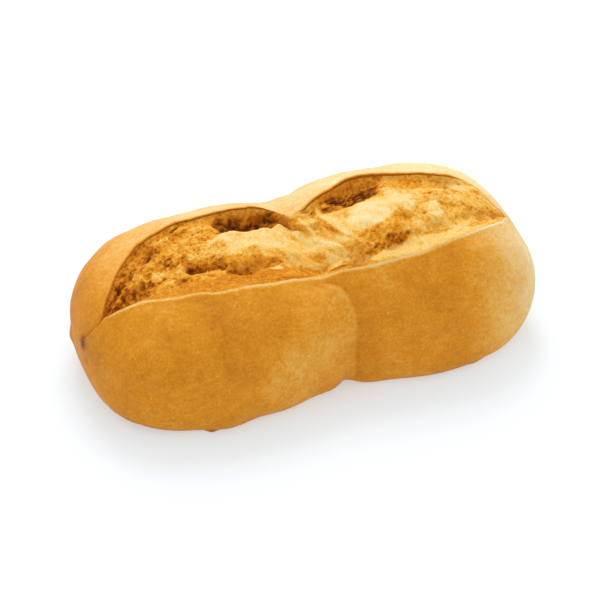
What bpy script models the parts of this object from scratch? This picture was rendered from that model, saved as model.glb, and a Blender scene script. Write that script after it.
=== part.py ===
"""Double bread roll: two oval rolls baked end to end as one loaf, burst open along one cut.

The loaf lies along X, the taller roll towards +X, and stands on its flat base at z = 0.
Its skin is worked out from two lobes, one for each roll. The burst is a band of torn
crumb that runs over the top between two lips of crust. Behind the crumb the rear lip
stands up as an ear over two hollows, and a crevice parts the crumb from the front flap.
"""

import math

import bmesh
import bpy
import numpy as np
from mathutils import Matrix

MM = 0.001  # sizes below are in millimetres, angles in degrees

NAME = "double_roll"
HALF_LENGTH = 85.0

# Each roll: centre along X, reach to its own end, reach past the waist, half width, height.
LEFT_ROLL = (-35.9, 49.1, 49.4, 45.6, 48.2)
RIGHT_ROLL = (42.4, 42.6, 49.4, 42.3, 54.2)
BELLY_HEIGHT = 20.3  # height of the widest line round the loaf
SINK = 9.1  # how much of the round underside the flat base takes away
BOW = -2.6  # both ends lie this much further forward than the middle
BASE_ROUNDING = 0.5  # how softly the skin bends into the flat base
BASE_CUT = 0.15  # what would lie lower than this is flattened onto the floor

# Exponents of the superellipses: 2 is an ellipse, more is squarer.
END_PLAN = 2.46
END_TOP = 2.13
END_UNDER = 3.0
WAIST = 3.73
SECTION_TOP = 2.23
SECTION_UNDER = 3.3
# How sharply the two rolls meet at the waist, in plan and over the top.
CREASE_PLAN = 34.0
CREASE_TOP = 14.0

# Turn angles round the section: 0 is straight back, 90 up, 180 to the front, 270 down.
STRAIGHT_DOWN = 270.0
REAR_FOOT = -38.0
FRONT_FOOT = 218.0
# Lips of the burst, as (place along X, turn angle).
FRONT_LIP = (
    (-85, 122), (-79, 115.3), (-73, 111.6), (-67, 112.4), (-52, 117.3), (-36, 120.7), (-19, 122.4),
    (-10, 122.8), (-4, 124.2), (0, 127), (4, 129.8), (10, 131.3), (24, 131.5), (36, 130.1),
    (50, 126), (58, 123), (66, 119.2), (75, 114), (85, 113),
)
REAR_LIP = (
    (-85, 112), (-77, 103.5), (-72.5, 94), (-66.5, 82), (-61, 74.5), (-52, 68), (-45, 64),
    (-37, 59.3), (-28, 59.2), (-15, 58), (-9, 58.7), (-6.5, 61.5), (-4.5, 66.5), (-2, 74),
    (8, 74.5), (17, 70.5), (27, 63.8), (33, 64), (40, 68.5), (47, 73), (54, 76.5), (64, 79),
    (70, 84), (74, 93), (78, 103), (85, 103),
)
# The burst fades out between these places at its two ends, and the rear lip towards +X.
BURST_ENDS = ((-79.0, -73.0), (70.0, 78.0))
REAR_FADE = (60.0, 69.0)

# Relief of the burst as bells: (centre along X, reach to -X, reach to +X, size).
HOLLOWS = ((-15, 17, 18, 8.5), (23, 15, 16, 4.8))
CREVICES = (
    (-80, 7, 9, 0.9), (-56, 9, 9, 1.5), (-41, 10, 11, 3.0), (-25, 12, 13, 4.0),
    (16, 10, 8, 1.6), (29, 8, 9, 1.6), (80, 8, 6, 0.5),
)
CHASM = ((-69, 8, 13, 5.0),)
EAR_LIFT = ((26, 22, 30, 0.6),)
EAR_REACH = 0.45  # share of the back over which the lifted ear comes down to the skin
FOOT_SPREAD = ((-42, 14, 13, 2.0), (-9, 14, 11, -1.8), (10, 8, 14, 1.2), (38, 24, 22, 2.2))
FOOT_TOP = 24.4  # the foot spreads below this height, and fully where y is below FOOT_FRONT
FOOT_FRONT = -30.0
REAR_STEP = 2.6
STEP_GAP = (-1.5, 8, 7, 0.85)  # the rear lip runs out where the two rolls meet
RIDGE = 0.5
RIDGE_START = 0.8  # share of the way up the front where the skin starts to rise to the ridge
BAND_DEPTH = 3.0
# Where the crevice and the rear rim of the crumb run: (place along X, place across).
CREVICE_LINE = (
    (-85, 0.45), (-74, 0.42), (-60, 0.36), (-46, 0.38), (-38, 0.35), (-31, 0.27), (-16, 0.25),
    (-3, 0.12), (10, 0.11), (20, 0.15), (32, 0.19), (50, 0.25), (85, 0.4),
)
RIM_LINE = (
    (-85, 0.76), (-42, 0.74), (-30, 0.65), (-13, 0.635), (-9, 0.66), (-6, 0.76), (-4, 0.84),
    (0, 0.86), (7, 0.84), (12, 0.74), (20, 0.69), (30, 0.68), (42, 0.70), (85, 0.74),
)
# How far the middle of the crumb lies below the uncut skin, as (place along X, depth).
CREST = (
    (-85, 0.2), (-74, 2.5), (-62, 4.0), (-46, 3.0), (-25, 1.1), (-9, 2.0), (1, 3.0),
    (12, 1.7), (34, 1.2), (58, 1.3), (74, 0.6), (85, 0.1),
)
# Places across of the rear lip's three last lines, where it leans over and where it is flat.
LIP_LEANING = (0.993, 0.982, 0.986)
LIP_FLAT = (0.982, 0.988, 0.994)
# Open pores: (place along X, place across the burst, radius, depth).
PORES = (
    (4.5, 0.72, 2.6, 2.4), (-58.5, 0.55, 2.4, 1.8), (-46.5, 0.20, 2.8, 1.8),
    (-43.5, 0.88, 2.6, 1.6), (-35.5, 0.66, 2.2, 1.2), (55.5, 0.66, 2.2, 1.4),
    (61.5, 0.36, 2.0, 0.9), (-62.0, 0.34, 2.4, 1.5),
)
# Swellings of the crust, and flakes that stick out at the foot: (x, y, z, radius, size).
SWELLINGS = (
    (81.0, -24.0, 18.0, 22.0, 1.9), (67.0, 17.0, 46.0, 24.0, 1.3), (-48.5, -41.5, 0.5, 3.4, 1.1),
    (-84.0, 10.0, 14.0, 5.0, 0.9), (53.0, -38.0, 1.0, 5.0, 0.6),
)
CRUMB_LUMPS = ((11.0, 0.6, 11), (5.5, 0.3, 12))  # (size, height, seed)
CRUST_LUMPS = ((34.0, 0.55, 21), (15.0, 0.2, 22))
LUMPS_START = 6.0  # height above the base from which the crust is fully uneven

# How the mesh is divided: bands along the loaf, and steps round it.
BANDS_ALONG = 66
STEPS_UNDER = 5
STEPS_FRONT = 17
STEPS_REAR = 16
MIDDLE_CROWDING = 0.3
LIP_CROWDING = 1.25
# Steps from either lip between which the surface turns from crust into crumb.
FRONT_EDGE = (2, 7)
REAR_EDGE = (2, 9)


def clear_scene():
    """Remove every object of the scene the script starts in."""
    for obj in list(bpy.data.objects):
        bpy.data.objects.remove(obj, do_unlink=True)


def quarter(share, exponent):
    """Height of a unit superellipse at a share of its half length."""
    return np.clip(1.0 - np.abs(share) ** exponent, 0.0, 1.0) ** (1.0 / exponent)


def bell(x, centre, reach_back, reach_on, size):
    """A smooth hump: a raised cosine with its own reach on each side of the centre."""
    reach = np.where(x < centre, reach_back, reach_on)
    share = np.clip((x - centre) / reach, -1.0, 1.0)
    return size * 0.5 * (1.0 + np.cos(np.pi * share))


def bells(x, humps):
    """The sum of several bells."""
    return sum(bell(x, *hump) for hump in humps)


def ramp(x, start, end):
    """Smooth step from 0 at start to 1 at end."""
    share = np.clip((x - start) / (end - start), 0.0, 1.0)
    return share * share * (3.0 - 2.0 * share)


def curve(x, points):
    """A smooth curve through points: cubic pieces, each slope that of its neighbours' chord."""
    px, py = np.array(points, float).T
    slopes = np.gradient(py, px)
    i = np.clip(np.searchsorted(px, x) - 1, 0, len(px) - 2)
    width = px[i + 1] - px[i]
    t = np.clip((x - px[i]) / width, 0.0, 1.0)
    rise = py[i] * (1 + 2 * t) * (1 - t) ** 2 + py[i + 1] * t * t * (3 - 2 * t)
    lean = slopes[i] * t * (1 - t) ** 2 + slopes[i + 1] * t * t * (t - 1)
    return rise + width * lean


def lumps(points, layers):
    """Uneven relief: for each layer, sine waves in seeded random directions and phases."""
    waves = 7
    total = np.zeros(points.shape[:-1])
    for size, height, seed in layers:
        draw = np.random.default_rng(seed)
        ways = draw.normal(size=(waves, 3))
        ways *= 2.0 * math.pi / size / np.linalg.norm(ways, axis=1)[:, None]
        phases = draw.uniform(0.0, 2.0 * math.pi, waves)
        total += height * np.sin(points @ ways.T + phases).sum(-1) / math.sqrt(waves)
    return total


def roll_share(x, roll, end_exponent):
    """How full one roll is at x, from 0 at its ends to 1 over its centre."""
    centre, end_reach, waist_reach = roll[:3]
    outer = (x - centre) * math.copysign(1.0, centre) > 0.0
    share = (x - centre) / np.where(outer, end_reach, waist_reach)
    return np.where(outer, quarter(share, end_exponent), quarter(share, WAIST))


def joined(left, right, sharpness):
    """The larger of the two rolls' sizes, with a soft crease where they are equal."""
    top = np.maximum(np.maximum(left, right), 1e-9)
    return top * ((left / top) ** sharpness + (right / top) ** sharpness) ** (1.0 / sharpness)


def skin(x, turn):
    """A point of the uncut skin, at a place along X and a turn angle round the section."""
    half_width = joined(LEFT_ROLL[3] * roll_share(x, LEFT_ROLL, END_PLAN),
                        RIGHT_ROLL[3] * roll_share(x, RIGHT_ROLL, END_PLAN), CREASE_PLAN)
    rise = joined((LEFT_ROLL[4] - BELLY_HEIGHT) * roll_share(x, LEFT_ROLL, END_TOP),
                  (RIGHT_ROLL[4] - BELLY_HEIGHT) * roll_share(x, RIGHT_ROLL, END_TOP), CREASE_TOP)
    drop = (BELLY_HEIGHT + SINK) * np.maximum(roll_share(x, LEFT_ROLL, END_UNDER),
                                              roll_share(x, RIGHT_ROLL, END_UNDER))
    angle = np.radians(turn)
    across, up = np.cos(angle), np.sin(angle)
    exponent = np.where(up >= 0.0, SECTION_TOP, SECTION_UNDER)
    radius = (np.abs(across) ** exponent + np.abs(up) ** exponent) ** (-1.0 / exponent)
    y = half_width * radius * across + BOW * (x / HALF_LENGTH) ** 2
    z = BELLY_HEIGHT + np.where(up >= 0.0, rise, drop) * radius * up
    above = 0.5 * (z + np.sqrt(z * z + 4.0 * BASE_ROUNDING ** 2)) - BASE_CUT
    return np.stack([x + 0.0 * turn, y, np.maximum(above, 0.0)], -1)


def outward(x, turn):
    """The skin's unit normal, from its slopes along the loaf and round it."""
    small_x, small_turn = 0.2, 0.5
    inner = np.clip(x, small_x - HALF_LENGTH, HALF_LENGTH - small_x)
    along = skin(inner + small_x, turn) - skin(inner - small_x, turn)
    around = skin(inner, turn + small_turn) - skin(inner, turn - small_turn)
    normal = np.cross(around, along)
    return normal / np.maximum(np.linalg.norm(normal, axis=-1), 1e-9)[..., None]


def burst_lines(x):
    """Lines along the burst, from the front lip to the rear lip.

    Each line is (steps up to it, place across the burst from 0 to 1, depth below the skin).
    """
    (fade_in, full_in), (full_out, fade_out) = BURST_ENDS
    open_share = ramp(x, fade_in, full_in) * (1.0 - ramp(x, full_out, fade_out))
    stands = open_share * (1.0 - bell(x, *STEP_GAP)) * (1.0 - ramp(x, *REAR_FADE))
    step = REAR_STEP * stands
    under_lip, lip_edge, lip_top = (
        flat + (leaning - flat) * stands for flat, leaning in zip(LIP_FLAT, LIP_LEANING))
    band = BAND_DEPTH * open_share
    hollow = bells(x, HOLLOWS)
    crevice = bells(x, CREVICES)
    chasm = bells(x, CHASM)
    lift = bells(x, EAR_LIFT)
    crest = curve(x, CREST)
    gap = curve(x, CREVICE_LINE)
    rim = curve(x, RIM_LINE)
    behind = 1.0 - rim
    return (
        (0, 0.0, -RIDGE * open_share),
        (1, 0.025, -0.8 * RIDGE * open_share),
        (2, 0.35 * gap, 0.35 * band + 0.4 * chasm),
        (2, 0.75 * gap, band + chasm),
        (2, gap, band + crevice + chasm),
        (2, gap + 0.055, crest + 0.7 * open_share + 0.3 * crevice + 0.8 * chasm),
        (3, gap + 0.15, crest + 0.1 * open_share + 0.5 * chasm),
        (5, 0.5 * (gap + rim) + 0.04, crest + 0.1 * chasm),
        (4, rim - 0.06, crest + 0.2 * open_share),
        (2, rim, crest + 0.4 * open_share + 0.05 * hollow),
        (3, rim + 0.18 * behind, crest + 0.6 * open_share + 0.65 * hollow),
        (3, rim + 0.52 * behind, step + hollow),
        (2, rim + 0.78 * behind, 0.9 * step + 0.75 * hollow),
        (2, 0.975, 0.6 * step + 0.3 * hollow),
        (1, under_lip, 0.4 * step),
        (1, lip_edge, 0.2 * step - lift),
        (1, lip_top, 0.03 * step - lift),
        (1, 1.0, -lift),
    )


def blended(lines, step):
    """Place and depth at one step across the burst: cubic blend of the four nearest lines."""
    stops = np.cumsum([line[0] for line in lines])
    i = int(np.clip(np.searchsorted(stops, step, side="right") - 1, 0, len(lines) - 2))
    t = (step - stops[i]) / (stops[i + 1] - stops[i])
    near = [lines[int(np.clip(i + k, 0, len(lines) - 1))] for k in (-1, 0, 1, 2)]
    weights = (
        0.5 * (-t + 2 * t * t - t ** 3),
        0.5 * (2 - 5 * t * t + 3 * t ** 3),
        0.5 * (t + 4 * t * t - 3 * t ** 3),
        0.5 * (t ** 3 - t * t),
    )
    place = sum(w * line[1] for w, line in zip(weights, near))
    depth = sum(w * line[2] for w, line in zip(weights, near))
    return place, depth


def dab(points, centre, radius):
    """A round spot: 1 at its centre, 0 from its radius on."""
    distance = np.linalg.norm(points - centre, axis=-1)
    return ramp(distance, radius, 0.0)


def across_burst(x, place):
    """The turn angle at a place across the burst: 0 is its front lip and 1 its rear lip."""
    front, rear = curve(x, FRONT_LIP), curve(x, REAR_LIP)
    return front + (rear - front) * place


def burst_step_count():
    """How many steps lead over the burst, from lip to lip."""
    return sum(line[0] for line in burst_lines(np.zeros(1)))


def base_columns(x, first_turn, last_turn):
    """Columns under the base, as (turn angles, depths, share of crumb)."""
    turns = first_turn + (last_turn - first_turn) * np.arange(STEPS_UNDER) / STEPS_UNDER
    return [(turn + 0.0 * x, 0.0 * x, 0.0) for turn in turns]


def front_columns(x):
    """Columns up the front, closer together towards the lip, where a low ridge stands up."""
    lip = across_burst(x, 0.0)
    ridge = burst_lines(x)[0][2]
    columns = []
    for step in range(STEPS_FRONT):
        share = 1.0 - (1.0 - step / STEPS_FRONT) ** LIP_CROWDING
        turn = FRONT_FOOT + (lip - FRONT_FOOT) * share
        columns.append((turn, ridge * ramp(share, RIDGE_START, 1.0), 0.0))
    return columns


def burst_columns(x):
    """Columns over the burst, each at its place across and its depth below the skin."""
    lines = burst_lines(x)
    count = burst_step_count()
    columns = []
    for step in range(count):
        place, depth = blended(lines, step)
        in_crumb = ramp(step, *FRONT_EDGE) * ramp(count - step, *REAR_EDGE)
        columns.append((across_burst(x, place), depth, in_crumb))
    return columns


def rear_columns(x):
    """Columns down the back, from the rear lip with its lifted ear to the foot."""
    lip = across_burst(x, 1.0)
    lift = bells(x, EAR_LIFT)
    columns = []
    for step in range(STEPS_REAR):
        share = (step / STEPS_REAR) ** LIP_CROWDING
        turn = lip + (REAR_FOOT - lip) * share
        columns.append((turn, -lift * ramp(share, EAR_REACH, 0.0), 0.0))
    return columns


def spread_foot(base):
    """Push the foot forward by bells along X, most at the floor and not at all behind."""
    spread = bells(base[..., 0], FOOT_SPREAD) * ramp(base[..., 2], FOOT_TOP, 0.0)
    base[..., 1] -= spread * ramp(base[..., 1], 0.0, FOOT_FRONT)
    return base


def unevenness(base, in_crumb):
    """Depth of lumps, open pores and swellings, at points of the skin."""
    ends = quarter(base[..., 0] / HALF_LENGTH, 2.0)
    off_base = ramp(base[..., 2], 0.0, LUMPS_START)
    depth = -(1.0 - in_crumb) * off_base * ends * lumps(base, CRUST_LUMPS)
    depth = depth - in_crumb * ends * lumps(base, CRUMB_LUMPS)
    for pore_x, place, radius, deep in PORES:
        spot = np.array([pore_x])
        centre = skin(spot, across_burst(spot, place))[0]
        depth = depth + deep * dab(base, centre, radius)
    for *centre, radius, size in SWELLINGS:
        depth = depth - size * dab(base, np.array(centre), radius)
    return depth


def loaf_points(x):
    """Points of the whole surface: one row for each place along X, one column a step round."""
    columns = base_columns(x, STRAIGHT_DOWN, FRONT_FOOT)
    columns += front_columns(x) + burst_columns(x) + rear_columns(x)
    columns += base_columns(x, REAR_FOOT, STRAIGHT_DOWN - 360.0)
    turn = np.stack([column[0] for column in columns], 1)
    depth = np.stack([column[1] for column in columns], 1)
    in_crumb = np.array([column[2] for column in columns])
    along = x[:, None] + 0.0 * turn
    base = spread_foot(skin(along, turn))
    depth = depth + unevenness(base, in_crumb)

    # In the burst the depth is taken half along the normal and half straight down.
    up = np.array([0.0, 0.0, 1.0])
    way = outward(along, turn) + in_crumb[None, :, None] * up
    way /= np.linalg.norm(way, axis=-1)[..., None]
    points = base - way * depth[..., None]
    points[..., 2] = np.where(base[..., 2] <= 0.0, 0.0, np.maximum(points[..., 2], 0.0))
    return points


def crumb_steps():
    """The first and last step round the loaf that lie in the torn crumb."""
    front_lip = STEPS_UNDER + STEPS_FRONT
    rear_lip = front_lip + burst_step_count()
    return front_lip + 2, rear_lip - 3


def make_material(name, colour, roughness):
    """A plain Principled finish."""
    material = bpy.data.materials.new(name)
    material.use_nodes = True
    shader = material.node_tree.nodes["Principled BSDF"]
    shader.inputs["Base Color"].default_value = (*colour, 1.0)
    shader.inputs["Roughness"].default_value = roughness
    shader.inputs["Metallic"].default_value = 0.0
    return material


def make_loaf():
    """The loaf: a UV sphere with its poles at the two ends, shaped into the burst rolls."""
    steps_round = 2 * STEPS_UNDER + STEPS_FRONT + burst_step_count() + STEPS_REAR
    bm = bmesh.new()
    bmesh.ops.create_uvsphere(bm, u_segments=steps_round, v_segments=BANDS_ALONG, radius=1.0)
    ball = np.array([vert.co for vert in bm.verts])

    # Where each vertex of the ball lies: its row from pole to pole, its column round the axis.
    rows = np.rint(np.arccos(np.clip(ball[:, 2], -1, 1)) / math.pi * BANDS_ALONG).astype(int)
    turns = np.arctan2(ball[:, 1], ball[:, 0]) / (2.0 * math.pi) * steps_round
    columns = np.rint(turns).astype(int) % steps_round

    share = 1.0 - 2.0 * np.arange(BANDS_ALONG + 1) / BANDS_ALONG
    share = share - MIDDLE_CROWDING * np.sin(np.pi * share) / np.pi
    x = HALF_LENGTH * np.sin(0.5 * np.pi * share)
    places = loaf_points(x)[rows, columns]
    for vert, place in zip(bm.verts, places):
        vert.co = place * MM
    middle = (places.min(0) + places.max(0)) / 2.0
    bmesh.ops.transform(bm, matrix=Matrix.Translation((-middle[0] * MM, -middle[1] * MM, 0.0)),
                        verts=bm.verts)
    print("middle of the loaf before centring, mm:", np.round(middle, 2))

    # Faces between two columns of the burst are crumb, all others are crust.
    first, last = crumb_steps()
    bm.verts.index_update()
    for face in bm.faces:
        face_columns = [columns[vert.index] for vert in face.verts]
        face.material_index = int(min(face_columns) >= first and max(face_columns) <= last)
    bmesh.ops.triangulate(bm, faces=bm.faces, quad_method="SHORT_EDGE")
    bmesh.ops.recalc_face_normals(bm, faces=bm.faces)

    mesh = bpy.data.meshes.new(NAME)
    bm.to_mesh(mesh)
    bm.free()
    mesh.shade_smooth()
    mesh.materials.append(make_material("golden_crust", (0.60, 0.27, 0.05), 0.62))
    mesh.materials.append(make_material("torn_crumb", (0.80, 0.52, 0.20), 0.85))
    return bpy.data.objects.new(NAME, mesh)


def main():
    clear_scene()
    collection = bpy.data.collections.new("double_bread_roll")
    bpy.context.scene.collection.children.link(collection)
    loaf = make_loaf()
    collection.objects.link(loaf)
    print("size, mm:", [round(side / MM, 1) for side in loaf.dimensions])
    print("triangles:", len(loaf.data.polygons))


main()
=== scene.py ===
# %% [markdown]
# # A double bread roll, baked as one loaf
#
# Two oval pieces of white dough lie end to end, grow together and are cut once along the top.
# In the oven the cut bursts open. What shows is a smooth golden crust all round, and along
# the top a band of torn crumb between two lips of crust. The rear lip stands up like an ear.
#
# This notebook builds the loaf in two closed surfaces, crust and crumb. Both are worked out
# with numpy from nearly the same formulas as the solid, so they lie close to it.

# %% Load the frame
import itertools
import math

import bpy
import numpy as np
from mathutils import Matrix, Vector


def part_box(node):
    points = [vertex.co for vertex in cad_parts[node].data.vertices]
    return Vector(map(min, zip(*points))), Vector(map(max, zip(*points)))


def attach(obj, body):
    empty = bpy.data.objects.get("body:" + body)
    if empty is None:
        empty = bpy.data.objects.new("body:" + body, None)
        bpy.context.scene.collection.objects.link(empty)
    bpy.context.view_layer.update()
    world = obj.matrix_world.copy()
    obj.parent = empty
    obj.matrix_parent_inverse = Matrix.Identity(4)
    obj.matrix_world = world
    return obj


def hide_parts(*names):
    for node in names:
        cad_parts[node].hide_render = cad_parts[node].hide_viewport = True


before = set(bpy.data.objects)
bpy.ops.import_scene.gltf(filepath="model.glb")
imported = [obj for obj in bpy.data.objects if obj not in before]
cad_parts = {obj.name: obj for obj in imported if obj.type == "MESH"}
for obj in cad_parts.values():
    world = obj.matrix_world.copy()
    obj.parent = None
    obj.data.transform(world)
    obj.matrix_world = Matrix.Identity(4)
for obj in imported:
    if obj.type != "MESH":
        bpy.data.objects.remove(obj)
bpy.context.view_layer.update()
CAD_LOW, CAD_HIGH = (1000.0 * np.array(corner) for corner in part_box("double_roll"))
print("the solid measures, in mm:", np.round(CAD_HIGH - CAD_LOW, 1))

# %% [markdown]
# ## Small curves to build with
#
# Everything below is in millimetres and degrees. A few one-line shapes do most of the work:
# a smooth step, a raised-cosine bell, a quarter of a superellipse, and a smooth curve through
# given points. They could be Blender curves, but as formulas they take whole arrays.

# %% Curves and bells
MM = 0.001


def ramp(x, start, end):
    """Smooth step: 3s^2 - 2s^3, where s runs from 0 at start to 1 at end."""
    share = np.clip((x - start) / (end - start), 0.0, 1.0)
    return share * share * (3.0 - 2.0 * share)


def bell(x, centre, reach_back, reach_on, size):
    """Raised cosine: size at the centre, 0 past its reach on either side."""
    reach = np.where(x < centre, reach_back, reach_on)
    share = np.clip((x - centre) / reach, -1.0, 1.0)
    return size * 0.5 * (1.0 + np.cos(np.pi * share))


def bells(x, humps):
    """The sum of several bells."""
    return sum(bell(x, *hump) for hump in humps)


def quarter(share, exponent):
    """Superellipse: (1 - |share|^n)^(1/n), the height over a share of the half length."""
    return np.clip(1.0 - np.abs(share) ** exponent, 0.0, 1.0) ** (1.0 / exponent)


def curve(x, points):
    """Cubic pieces through points, each slope that of the chord between its neighbours."""
    px, py = np.array(points, float).T
    slopes = np.gradient(py, px)
    i = np.clip(np.searchsorted(px, x) - 1, 0, len(px) - 2)
    width = px[i + 1] - px[i]
    t = np.clip((x - px[i]) / width, 0.0, 1.0)
    rise = py[i] * (1 + 2 * t) * (1 - t) ** 2 + py[i + 1] * t * t * (3 - 2 * t)
    lean = slopes[i] * t * (1 - t) ** 2 + slopes[i + 1] * t * t * (t - 1)
    return rise + width * lean


# %% [markdown]
# ## The two rolls under the skin
#
# Each roll is a superellipsoid: round in plan, a little squarer than an ellipse, flat below
# where it lay on the baking sheet. Where two rolls meet, dough fills the corner, so their
# widths and heights are joined by a p-norm, which leaves a soft crease at the waist. Sculpting
# or metaballs could do this too, but here every size stays a named number.

# %% Sizes of the rolls
HALF_LENGTH = 85.0
# Each roll: centre along X, reach to its own end, reach past the waist, half width, height.
LEFT_ROLL = (-35.9, 49.1, 49.4, 45.6, 48.2)
RIGHT_ROLL = (42.4, 42.6, 49.4, 42.3, 54.2)
BELLY_HEIGHT = 20.3
SINK = 9.1
BOW = -2.6
BASE_ROUNDING = 0.5
END_PLAN = 2.46
END_TOP = 2.13
END_UNDER = 3.0
WAIST = 3.73
SECTION_TOP = 2.23
SECTION_UNDER = 3.3
CREASE_PLAN = 34.0
CREASE_TOP = 14.0
REAR_FOOT = -38.0
FRONT_FOOT = 218.0
print("rolls", LEFT_ROLL[4], "and", RIGHT_ROLL[4], "mm high,", 2 * HALF_LENGTH, "mm from end to end")


# %% The uncut skin
def roll_share(x, roll, end_exponent):
    """How full one roll is at x: a superellipse towards its end, a squarer one at the waist."""
    centre, end_reach, waist_reach = roll[:3]
    outer = (x - centre) * math.copysign(1.0, centre) > 0.0
    share = (x - centre) / np.where(outer, end_reach, waist_reach)
    return np.where(outer, quarter(share, end_exponent), quarter(share, WAIST))


def joined(left, right, sharpness):
    """P-norm of two sizes: the larger one, with a soft crease where they are equal."""
    top = np.maximum(np.maximum(left, right), 1e-9)
    return top * ((left / top) ** sharpness + (right / top) ** sharpness) ** (1.0 / sharpness)


def skin(x, turn):
    """A point of the skin at x and a turn angle: 0 is back, 90 up, 180 front, 270 down.

    The section is a superellipse scaled to the joined half width, and to the rise above the
    belly or the drop below it. Below the floor the height is bent flat by a soft maximum.
    """
    half_width = joined(LEFT_ROLL[3] * roll_share(x, LEFT_ROLL, END_PLAN),
                        RIGHT_ROLL[3] * roll_share(x, RIGHT_ROLL, END_PLAN), CREASE_PLAN)
    rise = joined((LEFT_ROLL[4] - BELLY_HEIGHT) * roll_share(x, LEFT_ROLL, END_TOP),
                  (RIGHT_ROLL[4] - BELLY_HEIGHT) * roll_share(x, RIGHT_ROLL, END_TOP), CREASE_TOP)
    drop = (BELLY_HEIGHT + SINK) * np.maximum(roll_share(x, LEFT_ROLL, END_UNDER),
                                              roll_share(x, RIGHT_ROLL, END_UNDER))
    angle = np.radians(turn)
    across, up = np.cos(angle), np.sin(angle)
    exponent = np.where(up >= 0.0, SECTION_TOP, SECTION_UNDER)
    radius = (np.abs(across) ** exponent + np.abs(up) ** exponent) ** (-1.0 / exponent)
    y = half_width * radius * across + BOW * (x / HALF_LENGTH) ** 2
    z = BELLY_HEIGHT + np.where(up >= 0.0, rise, drop) * radius * up
    floor = 0.5 * (z + np.sqrt(z * z + 4.0 * BASE_ROUNDING ** 2)) - 0.3 * BASE_ROUNDING
    return np.stack([x + 0.0 * turn, y, np.maximum(floor, 0.0)], -1)


def outward(x, turn):
    """Unit normal of the skin: the cross product of its slopes round and along the loaf."""
    small_x, small_turn = 0.2, 0.5
    inner = np.clip(x, small_x - HALF_LENGTH, HALF_LENGTH - small_x)
    along = skin(inner + small_x, turn) - skin(inner - small_x, turn)
    around = skin(inner, turn + small_turn) - skin(inner, turn - small_turn)
    normal = np.cross(around, along)
    return normal / np.maximum(np.linalg.norm(normal, axis=-1), 1e-9)[..., None]


# %% [markdown]
# ## Unevenness
#
# Dough never comes out even. Long soft lumps are sums of a few sine waves. Finer relief is
# lattice noise: random numbers on a cubic lattice, blended smoothly in between. Torn pores
# are cell noise: how far a point is from the nearest of many scattered centres. All of them
# read the point in space, so neighbouring pieces agree and nothing slides.

# %% Lumps and noise
TABLE = 32


def lumps(points, layers):
    """For each layer (size, height, seed): seven sine waves in random directions, averaged."""
    waves = 7
    total = np.zeros(points.shape[:-1])
    for size, height, seed in layers:
        draw = np.random.default_rng(seed)
        ways = draw.normal(size=(waves, 3))
        ways *= 2.0 * math.pi / size / np.linalg.norm(ways, axis=1)[:, None]
        phases = draw.uniform(0.0, 2.0 * math.pi, waves)
        total += height * np.sin(points @ ways.T + phases).sum(-1) / math.sqrt(waves)
    return total


def noise(points, size, seed):
    """Lattice noise from -1 to 1: eight corners of a turned lattice, blended by smooth steps."""
    draw = np.random.default_rng(seed)
    table = draw.uniform(-1.0, 1.0, (TABLE, TABLE, TABLE))
    turned = points @ np.linalg.qr(draw.normal(size=(3, 3)))[0]
    spot = turned / size
    cell = np.floor(spot).astype(int)
    t = spot - cell
    t = t * t * (3.0 - 2.0 * t)
    total = np.zeros(points.shape[:-1])
    for corner in itertools.product((0, 1), repeat=3):
        weight = np.prod(np.where(np.array(corner) == 1, t, 1.0 - t), -1)
        i, j, k = np.moveaxis((cell + corner) % TABLE, -1, 0)
        total += weight * table[i, j, k]
    return total


def fractal(points, size, seed, octaves=3):
    """Noise at several sizes: each octave half the size and 0.55 of the height of the last."""
    shares = 0.55 ** np.arange(octaves)
    layers = [share * noise(points, size * 0.5 ** n, seed + n) for n, share in enumerate(shares)]
    return sum(layers) / shares.sum()


def cells(points, size, seed):
    """Distance to the nearest scattered centre, in cell sizes, and that centre's own luck."""
    draw = np.random.default_rng(seed)
    centres = draw.uniform(0.0, 1.0, (TABLE, TABLE, TABLE, 3))
    lucks = draw.uniform(0.0, 1.0, (TABLE, TABLE, TABLE))
    spot = points / size
    cell = np.floor(spot).astype(int)
    nearest = np.full(points.shape[:-1], 9.0)
    luck = np.zeros(points.shape[:-1])
    for step in itertools.product((-1, 0, 1), repeat=3):
        near = cell + step
        i, j, k = np.moveaxis(near % TABLE, -1, 0)
        distance = np.linalg.norm(spot - near - centres[i, j, k], axis=-1)
        luck = np.where(distance < nearest, lucks[i, j, k], luck)
        nearest = np.minimum(nearest, distance)
    return nearest, luck


def dab(points, centre, radius):
    """A round spot: 1 at its centre, 0 from its radius on, by a smooth step."""
    distance = np.linalg.norm(points - centre, axis=-1)
    return ramp(distance, radius, 0.0)


# %% [markdown]
# ## The burst
#
# A cut opens unevenly. On the left roll the rear lip tore far back and left a deep hollow
# under it, at the waist the crumb kept its skin, and on the right the opening is shallower.
# The burst is drawn as guide lines that run along the loaf, each at a place across the gap
# (0 at the front lip, 1 at the rear lip) and at a depth under the uncut skin. A cubic blend
# between the lines makes the surface, like lofting through wires.

# %% Lips of the burst
FRONT_LIP = (
    (-85, 122), (-79, 115.3), (-73, 111.6), (-67, 112.4), (-52, 117.3), (-36, 120.7), (-19, 122.4),
    (-10, 122.8), (-4, 124.2), (0, 127), (4, 129.8), (10, 131.3), (24, 131.5), (36, 130.1),
    (50, 126), (58, 123), (66, 119.2), (75, 114), (85, 113),
)
REAR_LIP = (
    (-85, 112), (-77, 103.5), (-72.5, 94), (-66.5, 82), (-61, 74.5), (-52, 68), (-45, 64),
    (-37, 59.3), (-28, 59.2), (-15, 58), (-9, 58.7), (-6.5, 61.5), (-4.5, 66.5), (-2, 74),
    (8, 74.5), (17, 70.5), (27, 63.8), (33, 64), (40, 68.5), (47, 73), (54, 76.5), (64, 79),
    (70, 84), (74, 93), (78, 103), (85, 103),
)
BURST_ENDS = ((-79.0, -73.0), (70.0, 78.0))
LIP_TAPER = ((-79.5, -74.0), (71.0, 79.0))
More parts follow.
